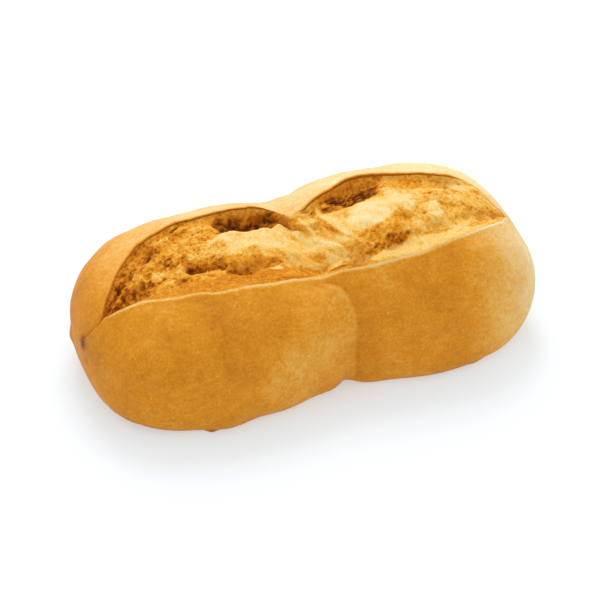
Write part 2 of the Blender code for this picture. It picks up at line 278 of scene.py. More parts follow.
CUT_ENDS = ((-80.5, -77.5), (76.5, 79.5))
FRONT_WAVER = ((9.0, 0.25, 61), (3.5, 0.12, 62))
REAR_WAVER = ((11.0, 0.35, 63), (4.0, 0.14, 64))
CLOSED_GAP = 0.3  # half of the closed crease past the ends of the cut, in degrees of turn


def fade(x, ends):
    """1 between two ends and 0 outside them, by smooth steps."""
    (fade_in, full_in), (full_out, fade_out) = ends
    return ramp(x, fade_in, full_in) * (1.0 - ramp(x, full_out, fade_out))


def lips(x):
    """Turn angles of the front and the rear lip: they close to a point at the cut's ends."""
    front, rear = curve(x, FRONT_LIP), curve(x, REAR_LIP)
    along = np.stack([x, 0.0 * x, 0.0 * x], -1)
    front = front + lumps(along, FRONT_WAVER)
    rear = rear + lumps(along, REAR_WAVER)
    middle = 0.5 * (front + rear)
    half = np.maximum(0.5 * (front - rear) * fade(x, LIP_TAPER), CLOSED_GAP)
    return middle + half, middle - half


# %% Relief along the burst
HOLLOWS = ((-15, 17, 18, 8.5), (23, 15, 16, 4.8))
CREVICES = (
    (-80, 7, 9, 0.9), (-56, 9, 9, 1.5), (-41, 10, 11, 3.0), (-25, 12, 13, 4.0),
    (16, 10, 8, 1.6), (29, 8, 9, 1.6), (80, 8, 6, 0.5),
)
CHASM = ((-69, 8, 13, 5.0),)
EAR_LIFT = ((26, 22, 30, 0.6),)
FOOT_SPREAD = ((-42, 14, 13, 2.0), (-9, 14, 11, -1.8), (10, 8, 14, 1.2), (38, 24, 22, 2.2))
REAR_STEP = 2.6
STEP_GAP = (-1.5, 8, 7, 0.85)
OVERHANG = 0.018  # how far the ear leans over the crumb, as a share of the burst's width
RIDGE = 0.5
BAND_DEPTH = 3.0
CREVICE_LINE = (
    (-85, 0.45), (-74, 0.42), (-60, 0.36), (-46, 0.38), (-38, 0.35), (-31, 0.27), (-16, 0.25),
    (-3, 0.12), (10, 0.11), (20, 0.15), (32, 0.19), (50, 0.25), (85, 0.4),
)
RIM_LINE = (
    (-85, 0.76), (-42, 0.74), (-30, 0.65), (-13, 0.635), (-9, 0.66), (-6, 0.76), (-4, 0.84),
    (0, 0.86), (7, 0.84), (12, 0.74), (20, 0.69), (30, 0.68), (42, 0.70), (85, 0.74),
)
REAR_FADE = (60.0, 69.0)  # over this stretch the rear lip sinks into the crumb
CREST = (
    (-85, 0.2), (-74, 2.5), (-62, 4.0), (-46, 3.0), (-25, 1.1), (-9, 2.0), (1, 3.0),
    (12, 1.7), (34, 1.2), (58, 1.3), (74, 0.6), (85, 0.1),
)


def burst_facts(x):
    """Every size that the guide lines need, as arrays along the loaf."""
    open_share = fade(x, BURST_ENDS)
    stands = open_share * (1.0 - bell(x, *STEP_GAP)) * (1.0 - ramp(x, *REAR_FADE))
    waist = ramp(x, -5.5, -2.5) * ramp(x, 3.0, -0.5)
    return {
        "open": open_share,
        "hollow": bells(x, HOLLOWS),
        "crevice": bells(x, CREVICES),
        "chasm": bells(x, CHASM),
        "lift": bells(x, EAR_LIFT),
        "crest": curve(x, CREST),
        "step": REAR_STEP * stands,
        "band": BAND_DEPTH * open_share,
        "merged": np.maximum(waist, ramp(x, *REAR_FADE)),
        "tight": ramp(x, -62.0, -71.0),
        "flat": ramp(x, 58.0, 70.0),
        "overhang": OVERHANG * stands,
        "gap": curve(x, CREVICE_LINE),
        "rim": curve(x, RIM_LINE),
    }


def blended(lines, step):
    """Places and depths over (row, step): a Catmull-Rom blend of the four nearest lines."""
    stops = np.cumsum([line[0] for line in lines])
    i = np.clip(np.searchsorted(stops, step, side="right") - 1, 0, len(lines) - 2)
    t = (step - stops[i]) / (stops[i + 1] - stops[i])
    weights = (
        0.5 * (-t + 2 * t * t - t ** 3),
        0.5 * (2 - 5 * t * t + 3 * t ** 3),
        0.5 * (t + 4 * t * t - 3 * t ** 3),
        0.5 * (t ** 3 - t * t),
    )
    rows = max(np.size(line[2]) for line in lines)
    places = np.stack([line[1] + np.zeros(rows) for line in lines], 1)
    depths = np.stack([line[2] + np.zeros(rows) for line in lines], 1)
    near = [np.clip(i + k, 0, len(lines) - 1) for k in (-1, 0, 1, 2)]
    place = sum(w * places[:, n] for w, n in zip(weights, near))
    depth = sum(w * depths[:, n] for w, n in zip(weights, near))
    return place, depth


# %% [markdown]
# ## From arrays to a closed mesh
#
# Each piece is a row of rings, one ring for each place along the loaf. Neighbouring rings are
# joined by four-sided faces, and the two ends are closed by a fan of triangles to a pole.
# Writing the arrays with foreach_set is much faster than adding faces one by one.

# %% Mesh from rings
def closed_rings(name, rings, fields):
    """A closed mesh from an array of rings (row, column, xyz) and its vertex fields."""
    rows, columns = rings.shape[:2]
    poles = np.stack([rings[0].mean(0), rings[-1].mean(0)])
    vertices = np.concatenate([rings.reshape(-1, 3), poles])
    ids = np.arange(rows * columns).reshape(rows, columns)
    following = np.roll(ids, -1, axis=1)
    quads = np.stack([ids[:-1], ids[1:], following[1:], following[:-1]], -1)
    first, last = rows * columns, rows * columns + 1
    fans = np.concatenate([
        np.stack([np.full(columns, first), ids[0], following[0]], -1),
        np.stack([np.full(columns, last), following[-1], ids[-1]], -1),
    ])
    sides = np.concatenate([np.full(quads.size // 4, 4), np.full(len(fans), 3)])
    mesh = bpy.data.meshes.new(name)
    mesh.vertices.add(len(vertices))
    mesh.vertices.foreach_set("co", (vertices * MM).ravel())
    mesh.loops.add(quads.size + fans.size)
    mesh.loops.foreach_set("vertex_index", np.concatenate([quads.ravel(), fans.ravel()]))
    mesh.polygons.add(len(sides))
    mesh.polygons.foreach_set("loop_start", np.cumsum(sides) - sides)
    mesh.update(calc_edges=True)
    for field, values in fields.items():
        ends = [values[0].mean(), values[-1].mean()]
        attribute = mesh.attributes.new(field, "FLOAT", "POINT")
        attribute.data.foreach_set("value", np.concatenate([values.ravel(), ends]))
    mesh.shade_smooth()
    piece = bpy.data.objects.new(name, mesh)
    bpy.context.scene.collection.objects.link(piece)
    print(name, "has", int((sides - 2).sum()), "triangles")
    return piece


def grid_normals(points):
    """Unit normals of an open grid: the cross product of its two central differences."""
    normal = np.cross(np.gradient(points, axis=0), np.gradient(points, axis=1))
    return normal / np.maximum(np.linalg.norm(normal, axis=-1), 1e-9)[..., None]


def loaf_rows(count, low, high, crowding):
    """Places along X: close together at both ends, and a little closer at the waist."""
    share = np.linspace(-1.0, 1.0, count + 2)[1:-1]
    share = share - crowding * np.sin(np.pi * share) / np.pi
    return low + (high - low) * 0.5 * (1.0 + np.sin(0.5 * np.pi * share))


# %% [markdown]
# ## The crust
#
# The crust is the smooth skin of the loaf, thin and golden, with soft dents and blisters. Its
# surface starts under the base, climbs the front, rolls over the front lip, dives below the
# crumb, comes back up as the underside of the ear and goes down the back. One closed surface
# was chosen over an open sheet with a thickness, because the lips then have true round edges.

# %% Shape of the crust
CRUST_ROWS = 384
STEPS_BASE = 7
STEPS_FRONT = 116
STEPS_REAR = 84
LIP_CROWDING = 1.45
TROUGH_ROOM = 5.5  # how far the hidden trough of the crust stays below the crumb
CRUST_LUMPS = ((34.0, 0.55, 21), (15.0, 0.2, 22))
PEEL = ((7.0, 0.07, 23), (3.4, 0.035, 24))
# Swellings of the crust, and flakes that stick out at the foot: x, y, z, radius, size.
SWELLINGS = (
    (81.0, -24.0, 18.0, 22.0, 1.9), (67.0, 17.0, 46.0, 24.0, 1.3), (-48.5, -41.5, 0.5, 3.4, 1.1),
    (-84.0, 10.0, 14.0, 5.0, 0.9), (53.0, -38.0, 1.0, 5.0, 0.6),
)
# The seam where the two rolls grew together, down the front: turn angle, place along X.
SEAM = (
    (125, -5.5), (129.5, -2.2), (133, 0.1), (138, 2.5), (144, 4.5), (151, 5.6), (157, 6.1),
    (165, 6.2), (176, 5.7), (190, 5.6), (207, 5.9), (218, 5.8),
)


def trough_lines(facts):
    """Guide lines of the crust between its lips: over the front edge, under the crumb, and
    back along the underside of the ear. Each is (steps, place across, depth)."""
    opened, step, lift = facts["open"], facts["step"], facts["lift"]
    band = facts["band"] + facts["chasm"]
    hollow = facts["hollow"]
    under = facts["crest"] + facts["chasm"] + TROUGH_ROOM * opened
    over = facts["overhang"]
    return (
        (0, 0.0, -RIDGE * opened),
        (2, 0.008, -0.95 * RIDGE * opened),
        (2, 0.016, 0.1 * opened),
        (2, 0.022, 1.0 * opened),
        (3, facts["gap"], band + facts["crevice"] + TROUGH_ROOM * opened),
        (5, 0.5 * (facts["gap"] + facts["rim"]), under),
        (4, facts["rim"], under + 0.6 * hollow),
        (4, 0.93 + 0.07 * facts["tight"], step + hollow + 0.6 * TROUGH_ROOM * opened),
        (3, 0.992 + 0.06 * facts["tight"], 0.85 * step + 0.5 * hollow + 0.5 * opened),
        (3, 1.0 - 0.2 * over, 0.34 * step + 0.3 * facts["merged"]),
        (2, 1.0 - 0.85 * over, 0.17 * step - lift),
        (2, 1.0 - over, 0.08 * step - lift),
        (2, 1.0 - 0.85 * over, 0.01 * step - lift),
        (2, 1.0, -lift),
    )


def crust_grid(x):
    """Turn, depth and place across for each place along X and each step round the crust.

    The place across is 0 on the front, 1 on the back, and between them in the trough.
    """
    front, rear = lips(x)
    facts = burst_facts(x)
    lines = trough_lines(facts)
    steps = np.arange(sum(line[0] for line in lines))
    base = np.arange(STEPS_BASE) / STEPS_BASE
    flat = np.zeros((len(x), STEPS_BASE))

    climb = 1.0 - (1.0 - np.arange(STEPS_FRONT) / STEPS_FRONT) ** LIP_CROWDING
    front_turn = FRONT_FOOT + (front - FRONT_FOOT)[:, None] * climb
    ridge = -RIDGE * facts["open"][:, None] * (
        0.5 * ramp(climb, 0.80, 1.0) + 0.5 * ramp(climb, 0.955, 1.0))

    place, trough = blended(lines, steps)
    trough = trough * fade(x, CUT_ENDS)[:, None]
    trough_turn = front[:, None] + (rear - front)[:, None] * place

    fall = (np.arange(STEPS_REAR) / STEPS_REAR) ** LIP_CROWDING
    rear_turn = rear[:, None] + (REAR_FOOT - rear)[:, None] * fall
    lifted = -facts["lift"][:, None] * (1.0 - ramp(fall, 0.0, 0.45))

    turn = np.concatenate([
        270.0 + (FRONT_FOOT - 270.0) * base + flat, front_turn, trough_turn, rear_turn,
        REAR_FOOT + (-90.0 - REAR_FOOT) * base + flat,
    ], 1)
    depth = np.concatenate([flat, ridge, trough, lifted, flat], 1)
    place = np.concatenate([flat, 0.0 * ridge, place, 0.0 * lifted + 1.0, flat + 1.0], 1)
    return turn, depth, place


def spread_foot(base):
    """The foot bulges forward between named places along the front, most at the floor."""
    spread = bells(base[..., 0], FOOT_SPREAD) * ramp(base[..., 2], 1.2 * BELLY_HEIGHT, 0.0)
    base[..., 1] -= spread * ramp(base[..., 1], 0.0, -30.0)
    return base


def swollen(base):
    """Height of the swellings over the smooth skin: a sum of round dabs."""
    return sum(size * dab(base, np.array(centre), radius) for *centre, radius, size in SWELLINGS)


def crust_relief(base, along, turn):
    """Height of the crust's dents, seam and closed creases over the smooth skin.

    The seam is a low rim with a groove on its +X side. Past the ends of the cut a soft groove,
    an upturned bell over the turn angle, carries the crease on to the tip.
    """
    relief = lumps(base, CRUST_LUMPS) + lumps(base, PEEL)
    beyond_seam = along - curve(turn, SEAM)
    on_seam = ramp(turn, 128.0, 136.0) * ramp(turn, 219.0, 212.0)
    relief += 0.32 * on_seam * ramp(beyond_seam, -3.0, -0.6) * ramp(beyond_seam, 0.7, -0.3)
    relief -= 0.28 * on_seam * ramp(np.abs(beyond_seam - 1.1), 1.3, 0.0)
    relief = relief * quarter(along / HALF_LENGTH, 2.0) * ramp(base[..., 2], 0.0, 6.0)
    crease = 0.5 * (curve(along, FRONT_LIP) + curve(along, REAR_LIP))
    closed = 1.0 - fade(along, LIP_TAPER)
    tips = ramp(np.abs(along), HALF_LENGTH, HALF_LENGTH - 1.5)
    return relief - 0.55 * closed * tips * ramp(np.abs(turn - crease), 3.2, 0.0)


def crust_points(x):
    """Points of the crust, their turn angles and their places across the burst."""
    turn, depth, place = crust_grid(x)
    along = x[:, None] + 0.0 * turn
    base = spread_foot(skin(along, turn))
    depth = depth - crust_relief(base, along, turn) - swollen(base)
    points = base - outward(along, turn) * depth[..., None]
    points[..., 2] = np.where(base[..., 2] <= 0.0, 0.0, np.maximum(points[..., 2], 0.0))
    return points, turn, place


crust_x = loaf_rows(CRUST_ROWS, -HALF_LENGTH, HALF_LENGTH, 0.3)
crust_rings, crust_turn, crust_place = crust_points(crust_x)
middle = 0.5 * (crust_rings.min((0, 1)) + crust_rings.max((0, 1)) - CAD_LOW - CAD_HIGH)
SHIFT = np.array([middle[0], middle[1], 0.0])
HEADROOM = 0.997  # leaves room in the solid's box for the crumb's relief at the highest place
crust_size = crust_rings.max((0, 1)) - crust_rings.min((0, 1))
SHRINK = np.minimum(1.0, (CAD_HIGH - CAD_LOW) / crust_size) * np.array([1.0, 1.0, HEADROOM])
print("the loaf's own middle before centring:", np.round(SHIFT, 2))
print("its scale on each axis:", np.round(SHRINK, 4))


def seated(rings):
    """Rings moved by SHIFT, then scaled by SHRINK on each axis, to stay in the solid's box."""
    return (rings - SHIFT) * SHRINK


# %% Colour field of the crust
# Single spots darker or paler than what is round them: x, y, z, radius, change. The small ones
# baked darker. The four wide ones are painted light and shade: paler on the front by the waist
# and at the right end, darker over the top of the left roll and its end.
CRUST_SPOTS_AND_PAINTED_LIGHT = (
    (-48.5, -42.0, 1.0, 2.6, 0.45), (-84.8, -9.0, 24.0, 4.5, 0.35), (-84.0, -12.5, 19.0, 3.0, 0.20),
    (47.5, -38.0, 0.8, 2.6, 0.28), (55.5, -38.0, 0.8, 2.4, 0.28), (79.5, -10.0, 30.0, 1.6, 0.25),
    (-15.0, -42.0, 22.0, 26.0, -0.08), (78.0, -24.0, 26.0, 22.0, -0.10),
    (-74.0, 2.0, 30.0, 26.0, 0.04), (-42.0, -27.0, 38.0, 16.0, 0.07),
)
# The left tip is browner and the right tip paler: partly the crust's own colour, partly painted
# light from the right.
LEFT_TIP_TOAST_AND_SHADING = 0.55
RIGHT_TIP_TOAST_AND_SHADING = 0.24


def crust_toast_and_shading(x, turn, place, rings):
    """How brown the crust is, with painted light and shade in it: most on the front, paler on the
    shoulders, lips and seam.
    """
    front, rear = lips(x)
    to_front = np.abs(turn - front[:, None])
    to_rear = np.abs(turn - rear[:, None])
    opened = fade(x, LIP_TAPER)[:, None]
    lip_share = (1.0 - burst_facts(x)["merged"])[:, None] * opened
    # The top is paler, more so on the right roll and less over the left end: partly a paler crust,
    # partly painted light from above and from the right.
    paler_top_and_light = 0.29 + 0.07 * ramp(x, 0.0, 32.0) - 0.12 * ramp(x, -30.0, -55.0)
    paler_top_and_light = paler_top_and_light - 0.19 * ramp(x, -62.0, -80.0)
    toast_and_shading = 0.52 - paler_top_and_light[:, None] * ramp(turn, 125.0, 75.0)
    back, under = ramp(turn, 62.0, 0.0), ramp(turn, -35.0, -90.0)
    toast_and_shading += (paler_top_and_light[:, None] + 0.16 * back) * back * (1.0 - under)
    toast_and_shading += paler_top_and_light[:, None] * ramp(turn, 0.0, -90.0) * under
    # Towards the right end the crust is paler, as painted light from the right. On top there it is
    # browned back a little, and on its upper front it is made paler still.
    toast_and_shading -= 0.25 * ramp(x, 40.0, 80.0)[:, None]
    toast_and_shading += 0.22 * ramp(x, 48.0, 66.0)[:, None] * bell(turn, 85.0, 45.0, 28.0, 1.0)
    toast_and_shading -= 0.08 * ramp(x, 45.0, 66.0)[:, None] * bell(turn, 128.0, 16.0, 24.0, 1.0)
    # The turn means nothing at a tip, where all angles meet, so there one value takes over.
    along_loaf = np.abs(outward(x[:, None] + 0.0 * turn, turn)[..., 0])
    tip_toast_and_shading = np.where(x < 0.0, LEFT_TIP_TOAST_AND_SHADING, RIGHT_TIP_TOAST_AND_SHADING)[:, None]
    toast_and_shading += (tip_toast_and_shading - toast_and_shading) * ramp(along_loaf, 0.55, 0.98)
    toast_and_shading -= 0.24 * ramp(to_front, 1.9, 0.4) * opened * (turn > front[:, None] - 1.0)
    toast_and_shading += 0.20 * ramp(to_rear, 1.7, 0.1) * lip_share * (turn <= rear[:, None])
    toast_and_shading += 0.09 * fractal(rings, 16.0, 31)
    for *centre, radius, change in CRUST_SPOTS_AND_PAINTED_LIGHT:
        toast_and_shading += change * dab(rings, np.array(centre), radius)

    # Along the seam runs a narrow paler band. Beside it there is painted shade on its +X side and a
    # painted highlight on its -X side.
    beyond_seam = x[:, None] - curve(turn, SEAM)
    on_seam = ramp(turn, 126.0, 134.0) * ramp(turn, 218.0, 208.0)
    toast_and_shading -= 0.05 * ramp(np.abs(beyond_seam), 1.5, 0.3) * on_seam
    toast_and_shading += 0.07 * ramp(beyond_seam, 0.2, 1.2) * ramp(beyond_seam, 14.0, 2.0) * on_seam
    toast_and_shading -= 0.03 * ramp(-beyond_seam, 0.2, 2.0) * ramp(-beyond_seam, 16.0, 4.0) * on_seam

    # In the trough, under the ear and in the closed crease past the cut, the crust is painted darker
    # as shade.
    in_trough = (place > 0.0) & (place < 1.0)
    under_ear_shade = 0.66 * lip_share + 0.34 * (1.0 - lip_share)
    deep = 0.34 + 0.36 * ramp(place, 0.03, 0.15)
    deep = deep + (under_ear_shade - deep) * ramp(place, 0.90, 0.96)
    deep = deep * opened + (toast_and_shading + 0.08) * (1.0 - opened)
    return np.where(in_trough, deep, toast_and_shading)


toast_and_shading = crust_toast_and_shading(crust_x, crust_turn, crust_place, crust_rings)
crust = closed_rings("crust", seated(crust_rings), {"toast_and_shading": np.clip(toast_and_shading, 0.0, 1.0)})


# %% [markdown]
# ## The torn crumb
#
# Where the cut burst, the crumb tore. Pale tongues of soft crumb lie between cavities that
# baked brown, and at the waist fibres run across the loaf. The cavities, the foot of each hollow
# and the folds are painted darker still, as shade. The band is its own piece on a
# fine grid, so that its pores and ledges are true relief and cast true shade. Its edges dive
# under both lips, so no seam shows.

# %% Shape of the crumb
CRUMB_ROWS = 500
CRUMB_COLUMNS = 170
CRUMB_UNDER = 26
CRUMB_ENDS = (-79.0, 78.5)
CRUMB_THICKNESS = 3.0
CRUMB_LUMPS = ((11.0, 0.6, 11), (5.5, 0.2, 12))
CRUMB_SINK = ((-80.0, -76.5), (74.0, 78.5))  # past these ends the crumb lies under the crust
CRUMB_SINK_DEPTH = 2.2
# Big pores, as x, place across, radius, depth. The last one swells the rim of the left tongue.
BIG_PORES = (
    (4.5, 0.72, 2.6, 2.4), (-58.5, 0.55, 2.4, 1.8), (-46.5, 0.20, 2.8, 1.0),
    (-43.5, 0.88, 2.6, 1.6), (-35.5, 0.66, 2.2, 1.2), (55.5, 0.66, 2.2, 1.4),
    (61.5, 0.36, 2.0, 0.9), (-62.0, 0.34, 2.4, 1.5), (-22.0, 0.63, 8.0, -1.9),
)


def crumb_lines(facts):
    """Guide lines of the crumb, from under the front lip to under the ear."""
    opened, step, merged = facts["open"], facts["step"], facts["merged"]
    crest, crevice, chasm = facts["crest"], facts["crevice"], facts["chasm"]
    band, gap, rim, hollow = facts["band"], facts["gap"], facts["rim"], facts["hollow"]
    behind = 1.0 - rim
    raised = opened * (1.0 - facts["flat"])
    last = step * (1.0 - 0.5 * facts["tight"])
    return (
        (0, -0.006, 0.8 + 0.0 * opened),
        (1, 0.001, 0.05 - 0.85 * RIDGE * opened),
        (1, 0.009, -1.0 * RIDGE * opened),
        (1, 0.032, -0.45 * RIDGE * opened),
        (2, 0.35 * gap, 0.35 * band + 0.4 * chasm),
        (2, 0.75 * gap, band + chasm),
        (2, gap, band + crevice + chasm),
        (2, gap + 0.055, crest + 0.7 * opened + 0.3 * crevice + 0.8 * chasm),
        (3, gap + 0.15, crest + 0.1 * opened + 0.5 * chasm),
        (5, 0.5 * (gap + rim) + 0.04, crest + 0.1 * chasm),
        (4, rim - 0.06, crest + 0.2 * raised),
        (2, rim, crest + 0.4 * raised + 0.05 * hollow),
        (3, rim + 0.18 * behind, crest + 0.6 * raised + 0.65 * hollow),
        (3, rim + 0.52 * behind, last + hollow),
        (2, rim + 0.78 * behind, 0.9 * last + 0.75 * hollow),
        (2, 0.982 - 0.01 * (1.0 - merged), (0.55 * last + 0.25 * hollow) * (1.0 - merged)),
        (1, 0.989, (0.22 * last + 0.1) * (1.0 - merged) - 0.12 * merged),
        (1, 1.012, (0.34 * step + 0.5) * (1.0 - merged) + 0.15 * merged),
    )


# Folds across the waist, each as (place across, x) along its line. The ear of the left roll
# ends in the first one, and the second parts the two rolls' crumb.
EAR_FOLD = ((0.52, 4.6), (0.66, 2.0), (0.775, 0.2), (0.87, -1.7), (0.975, -2.8), (1.05, -5.0))
WAIST_FOLD = ((0.30, 15.0), (0.37, 12.5), (0.46, 10.4), (0.54, 9.1), (0.69, 7.7), (0.95, 6.8))
# The groove on the ear's side of its fold: (place across, depth) and (place across, width).
TUCK_DEPTH = ((0.66, 0.1), (0.74, 0.4), (0.82, 0.8), (0.90, 1.0), (0.97, 1.0), (1.0, 0.6))
TUCK_WIDTH = ((0.66, 0.8), (0.74, 0.8), (0.82, 1.1), (0.90, 2.0), (0.97, 3.5), (1.0, 4.0))


def past(x, place, fold):
    """How far a point lies on the +X side of a fold, in millimetres square to it."""
    return 0.8 * (x - curve(place, fold))


def waist_depth(x, place, depth):
    """The depth at the waist, where the skin did not tear.

    On the +X side of the ear's fold it rises to the crust behind. On the other side the
    crumb tucks under it, as a groove that is steep at the fold and fades out to the left.
    """
    beyond = past(x, place, EAR_FOLD)
    whole = ramp(beyond, -0.4, 0.4) * ramp(x, 5.0, 0.5) * ramp(place, 0.50, 0.72)
    width = curve(place, TUCK_WIDTH)
    tuck = curve(place, TUCK_DEPTH) * ramp(beyond, 0.15, -0.45) * ramp(beyond, -width, -0.3 * width)
    tuck = tuck * ramp(place, 0.64, 0.70) * (1.0 - ramp(place, 0.965, 0.99))
    return depth * (1.0 - whole) + 2.0 * ramp(place, 0.96, 0.60) * whole + tuck


def even_steps(lines, x, count):
    """Steps across the burst that lie at even distances over the surface, on average."""
    steps = np.linspace(0.0, sum(line[0] for line in lines), 900)[:-1]
    points = crumb_base(lines, x, steps)[0]
    strides = np.linalg.norm(np.diff(points, axis=1), axis=-1).mean(0)
    travelled = np.concatenate([[0.0], np.cumsum(strides)])
    return np.interp(np.linspace(0.0, travelled[-1], count), travelled, steps)


def crumb_base(lines, x, steps):
    """Points of the crumb before its fine relief, their normals, and places across the gap.

    A point goes down from the uncut skin by its line's depth, half along the skin's normal
    and half straight down. At both ends of the cut all of it sinks under the crust.
    """
    place, depth = blended(lines, steps)
    front, rear = lips(x)
    turn = front[:, None] + (rear - front)[:, None] * place
    along = x[:, None] + 0.0 * turn
    base = skin(along, turn)
    normal = outward(along, turn)
    middle_part = ramp(place, 0.03, 0.12) * (1.0 - ramp(place, 0.90, 0.99))
    depth = waist_depth(along, place, depth)
    ends = quarter(along / HALF_LENGTH, 2.0)
    depth = depth - middle_part * ends * lumps(base, CRUMB_LUMPS) - swollen(base)
    depth = depth - (1.0 - middle_part) * crust_relief(base, along, turn)
    for place_x, place_across, radius, deep in BIG_PORES:
        lip_front, lip_rear = lips(np.array([place_x]))
        centre = skin(np.array([place_x]), lip_front + (lip_rear - lip_front) * place_across)[0]
        depth = depth + deep * dab(base, centre, radius)
    depth = depth + CRUMB_SINK_DEPTH * (1.0 - fade(x, CRUMB_SINK))[:, None]
    way = normal + middle_part[..., None] * np.array([0.0, 0.0, 1.0])
    way /= np.linalg.norm(way, axis=-1)[..., None]
    return base - way * depth[..., None], way, place


crumb_x = np.linspace(*CRUMB_ENDS, CRUMB_ROWS)
lines = crumb_lines(burst_facts(crumb_x))
crumb_steps = even_steps(lines, crumb_x, CRUMB_COLUMNS)
crumb_top, crumb_way, crumb_place = crumb_base(lines, crumb_x, crumb_steps)
crumb_span = np.linalg.norm(np.diff(crumb_top, axis=1), axis=-1).sum(1)[:, None]
print("crumb band: columns", crumb_top.shape, "about",
      round(float(np.linalg.norm(np.diff(crumb_top, axis=1), axis=-1).mean()), 2), "mm apart")

# %% Patches of the crumb
# Soft patches, painted one over the other: x, place across, reach along X, reach across,
# toast (0 pale, 1 burnt) and roughness.
PATCHES = (
    (-52.0, 0.62, 24.0, 0.50, 0.45, 0.90),
    (50.0, 0.60, 28.0, 0.50, 0.31, 0.55),
    (-70.0, 0.62, 9.0, 0.60, 0.48, 0.95),
    (-38.0, 0.09, 40.0, 0.13, 0.52, 0.08),
    (44.0, 0.09, 32.0, 0.12, 0.22, 0.10),
    (43.0, 0.86, 17.0, 0.09, 0.46, 0.45),
    (70.0, 0.86, 12.0, 0.22, 0.22, 0.40),
    (1.0, 0.52, 15.0, 0.46, 0.20, 0.15),
    (-18.0, 0.52, 19.0, 0.19, 0.18, 0.16),
    (-31.0, 0.48, 4.0, 0.08, 0.33, 0.40),
    (-23.0, 0.32, 9.0, 0.07, 0.42, 0.50),
    (-20.0, 0.40, 3.0, 0.04, 0.34, 0.30),
    (-12.5, 0.33, 5.0, 0.05, 0.36, 0.35),
    (24.0, 0.50, 10.0, 0.17, 0.08, 0.15),
    (37.0, 0.58, 4.5, 0.16, 0.14, 0.30),
    (30.0, 0.31, 8.0, 0.07, 0.40, 0.50),
    (48.0, 0.45, 2.5, 0.12, 0.16, 0.40),
    (62.0, 0.14, 5.0, 0.08, 0.40, 0.30),
    (-4.0, 0.12, 9.0, 0.10, 0.50, 0.40),
    (-11.0, 0.03, 9.0, 0.03, 0.60, 0.20),
    (9.0, 0.06, 8.0, 0.06, 0.52, 0.30),
    # Narrow dark strips at the crevice in front of the tongues: partly painted shade in it.
    (-40.0, 0.40, 6.0, 0.045, 0.62, 1.00),
    (-34.5, 0.34, 3.5, 0.05, 0.60, 1.00),
    (-27.0, 0.23, 8.0, 0.045, 0.62, 1.00),
    (-48.5, 0.23, 3.0, 0.035, 0.60, 0.80),
    (-14.5, 0.25, 3.0, 0.03, 0.52, 0.50),
    (-14.5, 0.19, 1.6, 0.03, 0.16, 0.30),
    (19.5, 0.18, 5.0, 0.025, 0.58, 0.80),
    (29.0, 0.21, 5.0, 0.03, 0.56, 0.80),
    (45.0, 0.19, 6.0, 0.03, 0.44, 0.40),
    (-54.7, 0.50, 3.2, 0.07, 0.23, 0.55),
    (-46.4, 0.45, 2.0, 0.04, 0.28, 0.60),
    (-41.3, 0.51, 1.8, 0.04, 0.28, 0.60),
    (-52.2, 0.29, 1.8, 0.03, 0.31, 0.50),
)


def painted(x, place, patches, column, ground):
    """Patches painted in order over a ground value, each with a soft elliptic edge."""
    value = ground + 0.0 * place
    for patch in patches:
        centre_x, centre_place, reach_x, reach_place = patch[:4]
        far = np.hypot((x - centre_x) / reach_x, (place - centre_place) / reach_place)
        value = value + (patch[column] - value) * ramp(far, 1.15, 0.70)
    return value


